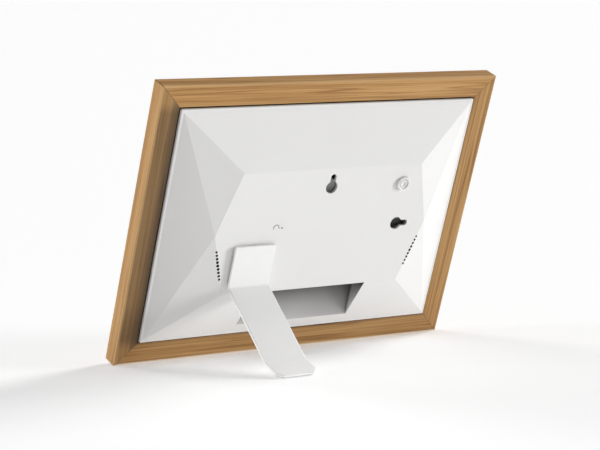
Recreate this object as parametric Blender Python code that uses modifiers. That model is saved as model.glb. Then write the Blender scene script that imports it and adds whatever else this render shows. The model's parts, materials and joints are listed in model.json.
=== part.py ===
"""A digital photo frame standing on its swivelling rear stand.

An oak frame of four mitred rails holds the glass, the mat and the display. A white faceted
cover closes the back, with a port recess, two hanging keyholes, a power button and the stand.

Every piece is placed in the frame's own upright coordinates, and one empty leans them all back:
X runs across (the stand is on the +X side), Y is the depth from the front face to the back,
and Z is the height above the bottom edge of the frame. Left and right are as seen from the front.
All sizes are in metres.
"""

import math

import bmesh
import bpy
from mathutils import Matrix, Vector

# ---------------------------------------------------------------- driving dimensions
FRAME_WIDTH = 0.280
FRAME_HEIGHT = 0.210
FRAME_DEPTH = 0.0125
LEAN = math.radians(20.0)

RAIL_BACK = 0.016           # width of a rail's back face, outside the rebate
RAIL_FACE = 0.022           # width of a rail's front face, lip included
LIP_DEPTH = 0.004           # thickness of the lip in front of the glass
ARRIS = 0.0007              # rounding of the rails' long edges
MITRE_GAP = 0.0002
GAP = 0.0003                # between pieces that touch

GLASS_DEPTH = 0.002
MAT_DEPTH = 0.0012
MAT_WINDOW = (0.214, 0.134)
MID_FRAME_DEPTH = 0.0015
GASKET_DEPTH = 0.0007

MODULE = (0.2295, 0.149)    # a 10.1 inch, 16:10 display module
PANEL_RECESS = 0.0001       # from the mid frame's front to the panel's
PANEL_DEPTH = 0.0016
DIFFUSER_DEPTH = 0.0004
LED_STRIP_HEIGHT = 0.0016
TRAY_WALL = 0.0006
TRAY_BACK = 0.0136          # depth of the module's rear face
TRAY_EAR = (0.012, 0.0078)
TRAY_EAR_LAP = 0.001        # how far an ear runs into the tray
TRAY_SCREW_X = 0.08
TRAY_SCREW_HOLE = 0.0012    # radii
TRAY_SCREW_HEAD = 0.002
TRAY_SCREW_SHANK = 0.0009
TRAY_SCREW_HEAD_DEPTH = 0.0011
FLEX_X = -0.022
FLEX_WIDTH = 0.022
FLEX_THICKNESS = 0.0002

COVER_GAP = 0.001           # shadow gap between the rails and the cover
COVER_RIM = 0.002           # flat border around the facets
COVER_PROUD = 0.0012        # the border stands this far behind the rails
COVER_WALL = 0.0021
PLATEAU_RISE = 0.018        # from the rails' back face to the plateau
PLATEAU_HALF_HEIGHT = 0.0465
PLATEAU_HALF_END = 0.075    # half width at the plateau's top and bottom edges
PLATEAU_HALF_MIDDLE = 0.089  # half width at its side points

RECESS_HALF_WIDTH = 0.0473
RECESS_BOTTOM = 0.025       # height at which the recess floor meets the facet
RECESS_WALL = 0.002

KEYHOLE_HEAD = 0.0095
KEYHOLE_SLOT = 0.0045
KEYHOLE_REACH = 0.0078      # from the head hole's centre to the slot's end centre
TOP_KEYHOLE_RISE = 0.032    # above the middle of the frame
SIDE_KEYHOLE_OFFSET = 0.0635
BRACKET_DEPTH = 0.0062
BRACKET_WALL = 0.0008
BRACKET_SIDE = 0.0066       # from the head hole's centre to the bracket's sides
BRACKET_PAST_SLOT = 0.005   # from the slot's end centre to the bracket's far end

BUTTON_AT = (-0.0614, 0.1368)
BUTTON_RADIUS = 0.00515
BUTTON_PROUD = 0.002
BUTTON_TRAVEL = 0.0006
BUTTON_GROOVE = (0.0027, 0.0033)   # inner and outer radius of the ring on its face
BUTTON_GROOVE_DEPTH = 0.0003
BUTTON_CHAMFER = 0.0006
BUTTON_FLANGE = 0.0011      # wider than the button, and behind the cover's wall
BUTTON_FLANGE_DEPTH = 0.001
BUTTON_NOSE = (0.002, 0.0008)      # radius and length of the boss that presses the switch
BUTTON_BOARD = (0.024, 0.012)
BUTTON_BOARD_BACK = 0.0212
BUTTON_BOARD_DEPTH = 0.0012
BUTTON_BOSS_OFFSET = 0.0093
BUTTON_BOSS_RADIUS = 0.0024
SWITCH_WIDTH = 0.006
SWITCH_DEPTH = 0.0032
SWITCH_WELL = (0.0021, 0.0014)     # radius, and how far the plunger's foot is sunk
PLUNGER_RADIUS = 0.0017

SPEAKER_HOLES = 9
SPEAKER_HOLE_PITCH = 0.0028
SPEAKER_HOLE_RADII = (0.0009, 0.0012)   # at the row's ends and at its middle
SPEAKER_FIRST_HOLE = 0.0128  # from the plateau's side point
SPEAKER_SIZE = (0.015, 0.006, 0.028)
SPEAKER_CENTRE = (0.0762, 0.0223, 0.0812)
LEAD_RADIUS = 0.0006

STAND_CENTRE = 0.0555
STAND_WIDTH = 0.033
STAND_THICKNESS = 0.002
STAND_LIFT = 0.0012         # from the plateau to the stand's pad
STAND_PAD_TOP = 0.0967      # heights of the pad's two ends
STAND_FOLD = 0.066
FOOT_FOLD = (0.102, 0.0084)  # distance behind the front bottom edge, height over the floor
FOOT_TIP = (0.1186, 0.0023)
FOOT_CHAMFER = 0.0042
STAND_BEND = 0.0012         # how far a fold's rounding reaches along the sheet
STAND_EDGE = 0.0003
SOLE_LENGTH = 0.009
SOLE_INSET = 0.0016

STUD_RADIUS = 0.004
STUD_HEAD_RADIUS = 0.007
PIVOT_BORE = 0.0017
PIVOT_SCREW_HEAD = (0.003, 0.0013)  # radius and depth
PIVOT_SCREW_SHANK = 0.0014
WASHER_RADII = (0.0075, 0.0115)
DETENT_RADII = (0.0046, 0.0088)
DETENT_DEPTH = 0.0006
SPRING_RADII = (0.0046, 0.0080)
SPRING_DEPTH = 0.0007
CAP_RADIUS = 0.0085
CAP_DEPTH = 0.001
STOP_TAB_WIDTH = 0.003
STOP_WIDTH = 0.0025
STOP_RADII = (0.0093, 0.012)

BOARD_SIZE = (0.096, 0.0016, 0.080)
BOARD_CENTRE = (0.0, 0.0178, 0.106)
BOARD_HOLE_OFFSET = (0.043, 0.035)
BOARD_HOLE_RADIUS = 0.0017
STANDOFF_RADIUS = 0.0029
BOARD_SCREW_HEAD = (0.0026, 0.0014)  # radius and depth
BOARD_SCREW_SHANK = 0.0013
PROCESSOR_AT = (0.004, 0.108)
PROCESSOR_DEPTH = 0.0012
SPREADER_SIZE = (0.020, 0.003, 0.020)
SPREADER_PITCH = 0.0046
SPREADER_GROOVE = 0.0022
SPREADER_BASE = 0.001
WIFI_AT = (0.032, 0.130)
ANTENNA_SIZE = (0.040, 0.0006, 0.008)
ANTENNA_AT = (0.034, 0.165)

JACK_X = -0.033
USB_X = -0.012
CARD_X = 0.018
JACK_SIZE = (0.009, 0.008, 0.012)
JACK_BORE_RADIUS = 0.003
JACK_PIN_RADIUS = 0.001
JACK_BORE_DEPTH = 0.009
USB_SIZE = (0.0132, 0.0058, 0.014)
USB_WALL = 0.0005
USB_DEPTH = 0.0125
USB_TONGUE = (0.0108, 0.0017)
USB_TONGUE_SET_BACK = 0.0015
CARD_SIZE = (0.027, 0.003, 0.022)
CARD_OPENING = (0.0246, 0.0022)
CARD_DEPTH = 0.020
PORT_CLEARANCE = 0.0004

# ---------------------------------------------------------------- derived places
MIDDLE = FRAME_HEIGHT / 2
HALF_WIDTH = FRAME_WIDTH / 2
REBATE_HALF = (HALF_WIDTH - RAIL_BACK, MIDDLE - RAIL_BACK)
COVER_HALF = (REBATE_HALF[0] - COVER_GAP, REBATE_HALF[1] - COVER_GAP)
FACET_HALF = (COVER_HALF[0] - COVER_RIM, COVER_HALF[1] - COVER_RIM)
RIM_BACK = FRAME_DEPTH + COVER_PROUD
PLATEAU = FRAME_DEPTH + PLATEAU_RISE
PLATEAU_INSIDE = PLATEAU - COVER_WALL
GLASS_FRONT = LIP_DEPTH + GAP
MAT_FRONT = GLASS_FRONT + GLASS_DEPTH + GAP
MID_FRAME_FRONT = MAT_FRONT + MAT_DEPTH + GAP
MID_FRAME_BACK = MID_FRAME_FRONT + MID_FRAME_DEPTH
GASKET_FRONT = MID_FRAME_BACK + GAP
COVER_FRONT = GASKET_FRONT + GASKET_DEPTH + GAP
PLATEAU_BOTTOM = MIDDLE - PLATEAU_HALF_HEIGHT
FACET_BOTTOM = MIDDLE - FACET_HALF[1]
FACET_SLOPE = (PLATEAU - RIM_BACK) / (PLATEAU_BOTTOM - FACET_BOTTOM)
RECESS_FLOOR = RIM_BACK + (RECESS_BOTTOM - FACET_BOTTOM) * FACET_SLOPE
RECESS_TOP = PLATEAU_BOTTOM - 0.0002
TOP_KEYHOLE = (0.0, MIDDLE + TOP_KEYHOLE_RISE)
SIDE_KEYHOLE = (-SIDE_KEYHOLE_OFFSET, MIDDLE)
PAD_FRONT = PLATEAU + STAND_LIFT
PAD_BACK = PAD_FRONT + STAND_THICKNESS
# The pivot is as far from the bottom edge as from the +X edge, so the frame leans the same way
# standing upright on that edge.
PIVOT = (STAND_CENTRE, HALF_WIDTH - STAND_CENTRE)
BOARD_BACK = BOARD_CENTRE[1] + BOARD_SIZE[1] / 2
BOARD_FRONT = BOARD_CENTRE[1] - BOARD_SIZE[1] / 2
PORT_MOUTH = PLATEAU_BOTTOM + 0.0006   # height of the connectors' open ends
STUD_END = PLATEAU_INSIDE - 0.002
CAP_BACK = STUD_END - GAP
CAP_FRONT = CAP_BACK - CAP_DEPTH
# The rear bottom arris, rounded, rests on the floor.
FLOOR_RISE = FRAME_DEPTH * math.sin(LEAN) - ARRIS * (math.sin(LEAN) + math.cos(LEAN) - 1)
HALF_TURN_TO_BACK = (-math.pi / 2, 0.0, 0.0)   # turns an object's Z along the depth


# ---------------------------------------------------------------- scene and materials
def clear_scene():
    for item in list(bpy.data.objects):
        bpy.data.objects.remove(item, do_unlink=True)


def new_collection(name):
    collection = bpy.data.collections.new(name)
    bpy.context.scene.collection.children.link(collection)
    return collection


def material(name, colour, roughness, metallic=0.0, transmission=0.0):
    made = bpy.data.materials.new(name)
    made.use_nodes = True
    shader = made.node_tree.nodes["Principled BSDF"]
    shader.inputs["Base Color"].default_value = (*colour, 1.0)
    shader.inputs["Roughness"].default_value = roughness
    shader.inputs["Metallic"].default_value = metallic
    shader.inputs["Transmission Weight"].default_value = transmission
    made.diffuse_color = (*colour, 1.0)
    return made


clear_scene()
PARTS = new_collection("digital_photo_frame")
CUTTERS = new_collection("cutters")

OAK = material("oak", (0.55, 0.33, 0.14), 0.5)
WHITE_PLASTIC = material("white_plastic", (0.86, 0.86, 0.85), 0.55)
GREY_PLASTIC = material("grey_plastic", (0.22, 0.22, 0.23), 0.6)
BLACK_PLASTIC = material("black_plastic", (0.02, 0.02, 0.02), 0.5)
GLASS = material("glass", (0.9, 0.95, 0.95), 0.05, transmission=0.9)
MAT_CARD = material("mat_card", (0.9, 0.89, 0.85), 0.9)
SCREEN = material("screen", (0.01, 0.01, 0.012), 0.15)
ACRYLIC = material("acrylic", (0.9, 0.92, 0.95), 0.1, transmission=0.6)
STEEL = material("steel", (0.6, 0.6, 0.6), 0.35, metallic=1.0)
BRASS = material("brass", (0.75, 0.55, 0.2), 0.3, metallic=1.0)
ALUMINIUM = material("aluminium", (0.8, 0.8, 0.8), 0.4, metallic=1.0)
CIRCUIT_BOARD = material("circuit_board", (0.01, 0.12, 0.05), 0.4)
FOAM = material("foam", (0.05, 0.05, 0.05), 0.95)
RUBBER = material("rubber", (0.75, 0.75, 0.74), 0.8)
RIBBON = material("ribbon", (0.45, 0.2, 0.04), 0.4)

leaning = bpy.data.objects.new("leaning_frame", None)
leaning.rotation_euler = (-LEAN, 0.0, 0.0)
# The frame's front bottom edge and the foot's tip are equally far from the origin.
leaning.location = (0.0, -FOOT_TIP[0] / 2, FLOOR_RISE)
PARTS.objects.link(leaning)


# ---------------------------------------------------------------- modelling helpers
def add_object(name, mesh, look=None, at=(0.0, 0.0, 0.0), turn=(0.0, 0.0, 0.0)):
    """Adds a piece, or a cutter when it has no material, to the leaning frame."""
    item = bpy.data.objects.new(name, mesh)
    item.location = at
    item.rotation_euler = turn
    item.parent = leaning
    if look is None:
        CUTTERS.objects.link(item)
        item.hide_render = True
        item.display_type = "WIRE"
    else:
        PARTS.objects.link(item)
        mesh.materials.append(look)
    return item


def mesh_of(shape, name):
    mesh = bpy.data.meshes.new(name)
    shape.to_mesh(mesh)
    shape.free()
    return mesh


def box(name, size, centre, look=None, rounding=0.0, turn=(0.0, 0.0, 0.0)):
    shape = bmesh.new()
    bmesh.ops.create_cube(shape, size=1.0, matrix=Matrix.Diagonal((*size, 1.0)))
    item = add_object(name, mesh_of(shape, name), look, centre, turn)
    if rounding:
        round_edges(item, rounding)
    return item


def slab(name, width, height, front, back, at, look=None, rounding=0.0):
    """A box that runs between two depths, centred on at = (x, height)."""
    return box(name, (width, back - front, height), (at[0], (front + back) / 2, at[1]), look, rounding)


def round_edges(item, width, segments=2, angle=math.radians(40)):
    bevel = item.modifiers.new("rounded_edges", "BEVEL")
    bevel.width = width
    bevel.segments = segments
    bevel.limit_method = "ANGLE"
    bevel.angle_limit = angle
    return bevel


def turned(name, profile, at, look=None, steps=16, turn=HALF_TURN_TO_BACK, closed=False):
    """Turns (radius, depth) points, listed from the back down the outer side, about an axis.

    A closed profile makes a ring; an open one starts and ends on the axis.
    """
    shape = bmesh.new()
    verts = [shape.verts.new((radius, 0.0, depth)) for radius, depth in profile]
    pairs = list(zip(verts, verts[1:]))
    if closed:
        pairs.append((verts[-1], verts[0]))
    for first, second in pairs:
        shape.edges.new((first, second))
    item = add_object(name, mesh_of(shape, name), look, (at[0], 0.0, at[1]), turn)
    screw = item.modifiers.new("turned", "SCREW")
    screw.steps = steps
    screw.render_steps = steps
    screw.use_merge_vertices = True
    screw.merge_threshold = 0.00002
    screw.use_smooth_shade = False
    return item


def cylinder(name, radius, front, back, at, look=None, steps=16):
    profile = [(0.0, back), (radius, back), (radius, front), (0.0, front)]
    return turned(name, profile, at, look, steps)


def ring(name, inner, outer, front, back, at, look=None, steps=24):
    profile = [(inner, back), (outer, back), (outer, front), (inner, front)]
    return turned(name, profile, at, look, steps, closed=True)


def screw(name, at, head_front, head_depth, shank_end, head_radius, shank_radius, look=STEEL):
    """A pan-head screw whose head faces the front when shank_end lies behind it, or the back."""
    forward = shank_end > head_front
    rim = head_radius * 0.8
    if forward:
        seat = head_front + head_depth
        profile = [
            (0.0, shank_end), (shank_radius, shank_end), (shank_radius, seat), (head_radius, seat),
            (head_radius, head_front + head_depth * 0.4), (rim, head_front), (0.0, head_front),
        ]
    else:
        back = head_front + head_depth
        profile = [
            (0.0, back), (rim, back), (head_radius, back - head_depth * 0.4), (head_radius, head_front),
            (shank_radius, head_front), (shank_radius, shank_end), (0.0, shank_end),
        ]
    return turned(name, profile, at, look, steps=12)


def outline_plate(name, outlines, front, back, at=(0.0, 0.0), look=None):
    """A plate between two depths; the first outline is its edge and the others are holes."""
    curve = bpy.data.curves.new(name, "CURVE")
    curve.dimensions = "2D"
    curve.fill_mode = "BOTH"
    curve.extrude = (back - front) / 2
    for outline in outlines:
        spline = curve.splines.new("POLY")
        spline.points.add(len(outline) - 1)
        for point, (x, height) in zip(spline.points, outline):
            point.co = (x, height, 0.0, 1.0)
        spline.use_cyclic_u = True
    drawn = bpy.data.objects.new(name + "_outline", curve)
    CUTTERS.objects.link(drawn)
    bpy.context.view_layer.update()
    mesh = bpy.data.meshes.new_from_object(drawn.evaluated_get(bpy.context.evaluated_depsgraph_get()))
    bpy.data.objects.remove(drawn, do_unlink=True)
    bpy.data.curves.remove(curve)
    shape = bmesh.new()
    shape.from_mesh(mesh)
    bmesh.ops.remove_doubles(shape, verts=shape.verts, dist=0.00002)
    bmesh.ops.recalc_face_normals(shape, faces=shape.faces)
    shape.to_mesh(mesh)
    shape.free()
    mesh.name = name
    mesh.materials.clear()
    return add_object(name, mesh, look, (at[0], (front + back) / 2, at[1]), (math.pi / 2, 0.0, 0.0))


def rectangle(half_width, half_height):
    return [
        (-half_width, -half_height), (half_width, -half_height),
        (half_width, half_height), (-half_width, half_height),
    ]


def arc(centre, radius, start, end, steps):
    """Points along an arc between two angles in degrees."""
    turns = [math.radians(start + (end - start) * step / steps) for step in range(steps + 1)]
    return [(centre[0] + radius * math.cos(a), centre[1] + radius * math.sin(a)) for a in turns]


def hull(name, points, look=None):
    """The convex solid around (x, depth, height) points."""
    shape = bmesh.new()
    for point in points:
        shape.verts.new(point)
    made = bmesh.ops.convex_hull(shape, input=shape.verts)
    inside = {item for item in made["geom_interior"] if isinstance(item, bmesh.types.BMVert)}
    bmesh.ops.delete(shape, geom=list(inside), context="VERTS")
    bmesh.ops.dissolve_limit(
        shape, angle_limit=math.radians(0.5), verts=shape.verts, edges=shape.edges)
    bmesh.ops.recalc_face_normals(shape, faces=shape.faces)
    return add_object(name, mesh_of(shape, name), look)


def boolean(item, other, operation="DIFFERENCE"):
    step = item.modifiers.new(f"{operation.lower()}_{other.name}", "BOOLEAN")
    step.operation = operation
    step.solver = "EXACT"
    step.object = other
    return step


def tube(name, radius, route, look):
    """A round lead along a smooth route of (x, depth, height) points."""
    curve = bpy.data.curves.new(name, "CURVE")
    curve.dimensions = "3D"
    curve.bevel_depth = radius
    curve.bevel_resolution = 1
    curve.use_fill_caps = True
    curve.resolution_u = 3
    spline = curve.splines.new("BEZIER")
    spline.bezier_points.add(len(route) - 1)
    for point, place in zip(spline.bezier_points, route):
        point.co = place
        point.handle_left_type = "AUTO"
        point.handle_right_type = "AUTO"
    item = bpy.data.objects.new(name, curve)
    item.parent = leaning
    curve.materials.append(look)
    PARTS.objects.link(item)
    return item


def bent_sheet(name, centre_x, width, stations, thickness, look, bend=0.0, chamfer=0.0):
    """A sheet that follows (depth, height) stations, given on its outer side.

    bend rounds the folds and chamfer cuts the two corners at its last end.
    """
    shape = bmesh.new()
    rows = []
    for depth, height in stations:
        left = shape.verts.new((-width / 2, depth, height))
        right = shape.verts.new((width / 2, depth, height))
        rows.append((left, right))
    folds = []
    for (left, right), (next_left, next_right) in zip(rows, rows[1:]):
        shape.faces.new((left, right, next_right, next_left))
    for left, right in rows[1:-1]:
        folds.append(shape.edges.get((left, right)))
    if chamfer:
        bmesh.ops.bevel(
            shape, geom=list(rows[-1]), offset=chamfer, segments=1, affect="VERTICES", profile=0.5)
    if bend:
        bmesh.ops.bevel(shape, geom=folds, offset=bend, segments=3, affect="EDGES", profile=0.5)
    item = add_object(name, mesh_of(shape, name), look, (centre_x, 0.0, 0.0))
    shell = item.modifiers.new("thickness", "SOLIDIFY")
    shell.thickness = thickness
    shell.offset = -1.0
    shell.use_even_offset = True
    return item


# ---------------------------------------------------------------- the oak frame
def rail(name, length, across, turn):
    """One mitred rail, made as the bottom one and turned about the middle of the frame."""
    section = [
        (0.0, 0.0), (RAIL_FACE, 0.0), (RAIL_FACE, LIP_DEPTH), (RAIL_BACK, LIP_DEPTH),
        (RAIL_BACK, FRAME_DEPTH), (0.0, FRAME_DEPTH),
    ]
    shape = bmesh.new()
    corners = [shape.verts.new((-length / 2, depth, inset - across / 2)) for inset, depth in section]
    end = shape.faces.new(corners)
    made = bmesh.ops.extrude_face_region(shape, geom=[end])
    moved = [item for item in made["geom"] if isinstance(item, bmesh.types.BMVert)]
    bmesh.ops.translate(shape, verts=moved, vec=(length, 0.0, 0.0))
    long_edges = [edge for edge in shape.edges if edge.calc_length() > length * 0.9]
    bmesh.ops.bevel(shape, geom=long_edges, offset=ARRIS, segments=3, affect="EDGES", profile=0.5)
    for side in (-1.0, 1.0):
        outward = Vector((side, 0.0, 1.0)).normalized()
        corner = Vector((side * length / 2, 0.0, -across / 2))
        geometry = list(shape.verts) + list(shape.edges) + list(shape.faces)
        bmesh.ops.bisect_plane(
            shape, geom=geometry, plane_co=corner - outward * MITRE_GAP / 2, plane_no=outward,
            clear_outer=True)
        open_edges = [edge for edge in shape.edges if edge.is_boundary]
        bmesh.ops.holes_fill(shape, edges=open_edges, sides=0)
    bmesh.ops.recalc_face_normals(shape, faces=shape.faces)
    return add_object(name, mesh_of(shape, name), OAK, (0.0, 0.0, MIDDLE), (0.0, turn, 0.0))


def oak_frame():
    rail("rail_bottom", FRAME_WIDTH, FRAME_HEIGHT, 0.0)
    rail("rail_top", FRAME_WIDTH, FRAME_HEIGHT, math.pi)
    rail("rail_left", FRAME_HEIGHT, FRAME_WIDTH, math.pi / 2)
    rail("rail_right", FRAME_HEIGHT, FRAME_WIDTH, -math.pi / 2)


# ---------------------------------------------------------------- glass, mat and display
def glazing():
    half = (REBATE_HALF[0] - GAP, REBATE_HALF[1] - GAP)
    centre = (0.0, MIDDLE)
    slab("front_glass", 2 * half[0], 2 * half[1], GLASS_FRONT, GLASS_FRONT + GLASS_DEPTH, centre, GLASS)
    mat = slab("mat_board", 2 * half[0], 2 * half[1], MAT_FRONT, MAT_FRONT + MAT_DEPTH, centre, MAT_CARD)
    boolean(mat, mat_window())
    window = rectangle(MODULE[0] / 2 + GAP, MODULE[1] / 2 + GAP)
    mid_frame = outline_plate(
        "mid_frame", [rectangle(*half), window], MID_FRAME_FRONT, MID_FRAME_BACK, centre, BLACK_PLASTIC)
    for x, height in tray_screw_places():
        name = "mid_frame_hole"
        boolean(mid_frame, cylinder(name, TRAY_SCREW_HOLE, 0.0, FRAME_DEPTH, (x, height), steps=8))
    outer = rectangle(COVER_HALF[0] - GAP, COVER_HALF[1] - GAP)
    inner = rectangle(FACET_HALF[0] + GAP, FACET_HALF[1] + GAP)
    outline_plate(
        "cover_gasket", [outer, inner], GASKET_FRONT, GASKET_FRONT + GASKET_DEPTH, centre, FOAM)


def mat_window():
    """The cutter of the window, whose four sides flare at 45 degrees towards the glass."""
    shape = bmesh.new()
    reach = 0.001
    size = (MAT_WINDOW[0], MAT_DEPTH + 2 * reach, MAT_WINDOW[1], 1.0)
    bmesh.ops.create_cube(shape, size=1.0, matrix=Matrix.Diagonal(size))
    for vert in shape.verts:
        flare = MAT_DEPTH / 2 - vert.co.y
        vert.co.x += math.copysign(flare, vert.co.x)
        vert.co.z += math.copysign(flare, vert.co.z)
    centre = (0.0, MAT_FRONT + MAT_DEPTH / 2, MIDDLE)
    return add_object("mat_window", mesh_of(shape, "mat_window"), None, centre)


def tray_screw_places():
    rise = MODULE[1] / 2 + TRAY_EAR[1] * 0.55
    return [(x, MIDDLE + side * rise) for side in (-1, 1) for x in (-TRAY_SCREW_X, TRAY_SCREW_X)]


def display():
    centre = (0.0, MIDDLE)
    inner = (MODULE[0] - 2 * TRAY_WALL - 2 * GAP, MODULE[1] - 2 * TRAY_WALL - 2 * GAP)
    panel_front = MID_FRAME_FRONT + PANEL_RECESS
    panel_back = panel_front + PANEL_DEPTH
    film_back = panel_back + GAP + DIFFUSER_DEPTH
    guide_front = film_back + GAP
    guide_back = TRAY_BACK - TRAY_WALL - GAP
    slab("lcd_panel", *inner, panel_front, panel_back, centre, SCREEN)
    slab("diffuser_sheet", *inner, panel_back + GAP, film_back, centre, WHITE_PLASTIC)
    bottom = MIDDLE - inner[1] / 2
    guide_height = inner[1] - LED_STRIP_HEIGHT - GAP
    guide_at = (0.0, MIDDLE + inner[1] / 2 - guide_height / 2)
    slab("light_guide", inner[0], guide_height, guide_front, guide_back, guide_at, ACRYLIC)
    slab("led_strip", inner[0] - 0.006, LED_STRIP_HEIGHT, guide_front, guide_back,
         (0.0, bottom + LED_STRIP_HEIGHT / 2), CIRCUIT_BOARD)
    tray = slab("lcd_tray", *MODULE, panel_front, TRAY_BACK, centre, STEEL)
    ear_front = MID_FRAME_BACK + GAP
    ear_back = ear_front + TRAY_WALL
    for index, (x, height) in enumerate(tray_screw_places(), start=1):
        side = math.copysign(1.0, height - MIDDLE)
        ear_height = TRAY_EAR[1] + TRAY_EAR_LAP
        ear_middle = MIDDLE + side * (MODULE[1] / 2 + TRAY_EAR[1] - ear_height / 2)
        ear = slab("tray_ear", TRAY_EAR[0], ear_height, ear_front, ear_back, (x, ear_middle))
        boolean(tray, ear, "UNION")
        boolean(tray, cylinder("tray_ear_hole", TRAY_SCREW_HOLE, 0.0, FRAME_DEPTH, (x, height), steps=8))
        screw(f"tray_screw_{index}", (x, height), ear_back + GAP, TRAY_SCREW_HEAD_DEPTH,
              MID_FRAME_FRONT + GAP, TRAY_SCREW_HEAD, TRAY_SCREW_SHANK)
    hollow = (MODULE[0] - 2 * TRAY_WALL, MODULE[1] - 2 * TRAY_WALL)
    boolean(tray, slab("tray_hollow", *hollow, 0.0, TRAY_BACK - TRAY_WALL, centre))
    notch_at = (FLEX_X, MIDDLE + MODULE[1] / 2)
    boolean(tray, slab("tray_notch", FLEX_WIDTH + 0.002, 0.003, 0.0, TRAY_BACK - TRAY_WALL, notch_at))


def display_flex():
    """The ribbon from the panel's top edge, over the tray, to its connector on the main board."""
    module_top = MIDDLE + MODULE[1] / 2
    board_top = BOARD_CENTRE[2] + BOARD_SIZE[2] / 2
    tray_clear = TRAY_BACK + GAP + FLEX_THICKNESS
    connector_top = board_top - 0.001
    lift = BOARD_BACK + 0.0014
    stations = [
        (MID_FRAME_BACK + 0.0008, module_top - 0.0005), (MID_FRAME_BACK + 0.0008, module_top + 0.0008),
        (tray_clear, module_top + 0.0008), (tray_clear, board_top + 0.004),
        (lift, board_top + 0.0012), (lift, connector_top + 0.0004),
    ]
    bent_sheet("lcd_flex", FLEX_X, FLEX_WIDTH, stations, FLEX_THICKNESS, RIBBON)
    slab("flex_connector", FLEX_WIDTH + 0.003, 0.005, BOARD_BACK + GAP, BOARD_BACK + 0.002,
         (FLEX_X, connector_top - 0.0025), BLACK_PLASTIC, 0.0002)


# ---------------------------------------------------------------- electronics
def port(name, size, x, look, rounding=0.0):
    """A connector body on the back of the board, its mouth in the ceiling of the recess."""
    front = BOARD_BACK + GAP
    at = (x, PORT_MOUTH + size[2] / 2)
    return slab(name, size[0], size[2], front, front + size[1], at, look, rounding)


def connectors():
    middle = BOARD_BACK + GAP + JACK_SIZE[1] / 2
    jack = port("dc_jack", JACK_SIZE, JACK_X, BLACK_PLASTIC, 0.0003)
    bore = [(JACK_PIN_RADIUS, JACK_BORE_DEPTH), (JACK_BORE_RADIUS, JACK_BORE_DEPTH),
            (JACK_BORE_RADIUS, -0.002), (JACK_PIN_RADIUS, -0.002)]
    socket = turned("dc_jack_bore", bore, (JACK_X, PORT_MOUTH), None, 12, (0.0, 0.0, 0.0), closed=True)
    socket.location.y = middle
    boolean(jack, socket)

    usb = port("usb_port", USB_SIZE, USB_X, STEEL)
    depth_middle = BOARD_BACK + GAP + USB_SIZE[1] / 2
    inside = (USB_SIZE[0] - 2 * USB_WALL, USB_SIZE[1] - 2 * USB_WALL, 2 * USB_DEPTH)
    opening = box("usb_opening", inside, (USB_X, depth_middle, PORT_MOUTH))
    tongue_middle = PORT_MOUTH + USB_TONGUE_SET_BACK + USB_DEPTH
    boolean(opening, box("usb_tongue", (*USB_TONGUE, 2 * USB_DEPTH), (USB_X, depth_middle, tongue_middle)))
    boolean(usb, opening)

    card = port("sd_card_slot", CARD_SIZE, CARD_X, STEEL)
    card_middle = BOARD_BACK + GAP + CARD_SIZE[1] / 2
    boolean(card, box("card_opening", (*CARD_OPENING, 2 * CARD_DEPTH), (CARD_X, card_middle, PORT_MOUTH)))


def main_board():
    board = box("main_board", BOARD_SIZE, BOARD_CENTRE, CIRCUIT_BOARD)
    places = [(BOARD_CENTRE[0] + side * BOARD_HOLE_OFFSET[0], BOARD_CENTRE[2] + rise * BOARD_HOLE_OFFSET[1])
              for rise in (-1, 1) for side in (-1, 1)]
    for index, place in enumerate(places, start=1):
        boolean(board, cylinder("board_hole", BOARD_HOLE_RADIUS, 0.0, PLATEAU, place, steps=12))
        standoff = [(BOARD_HOLE_RADIUS, BOARD_FRONT - GAP), (STANDOFF_RADIUS, BOARD_FRONT - GAP),
                    (STANDOFF_RADIUS, TRAY_BACK + GAP), (BOARD_HOLE_RADIUS, TRAY_BACK + GAP)]
        turned(f"board_standoff_{index}", standoff, place, BRASS, steps=6, closed=True)
        screw(f"board_screw_{index}", place, BOARD_BACK + GAP, BOARD_SCREW_HEAD[1],
              TRAY_BACK + 2 * GAP, BOARD_SCREW_HEAD[0], BOARD_SCREW_SHANK)
    chips = {
        "processor_chip": ((0.014, PROCESSOR_DEPTH, 0.014), PROCESSOR_AT),
        "memory_chip": ((0.009, 0.0011, 0.013), (0.024, PROCESSOR_AT[1])),
        "flash_chip": ((0.0115, 0.001, 0.013), (-0.020, PROCESSOR_AT[1])),
    }
    for name, (size, at) in chips.items():
        slab(name, size[0], size[2], BOARD_BACK + GAP, BOARD_BACK + GAP + size[1], at, BLACK_PLASTIC)
    front = BOARD_BACK + GAP + PROCESSOR_DEPTH + GAP
    back = front + SPREADER_SIZE[1]
    spreader = slab("heat_spreader", SPREADER_SIZE[0], SPREADER_SIZE[2], front, back, PROCESSOR_AT,
                    ALUMINIUM)
    for index in range(4):
        groove_at = (PROCESSOR_AT[0] + (index - 1.5) * SPREADER_PITCH, PROCESSOR_AT[1])
        boolean(spreader, slab("spreader_groove", SPREADER_GROOVE, 1.2 * SPREADER_SIZE[2],
                               front + SPREADER_BASE, back + SPREADER_BASE, groove_at))
    slab("wifi_module", 0.015, 0.012, BOARD_BACK + GAP, BOARD_BACK + 0.0024, WIFI_AT, STEEL, 0.0003)


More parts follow.
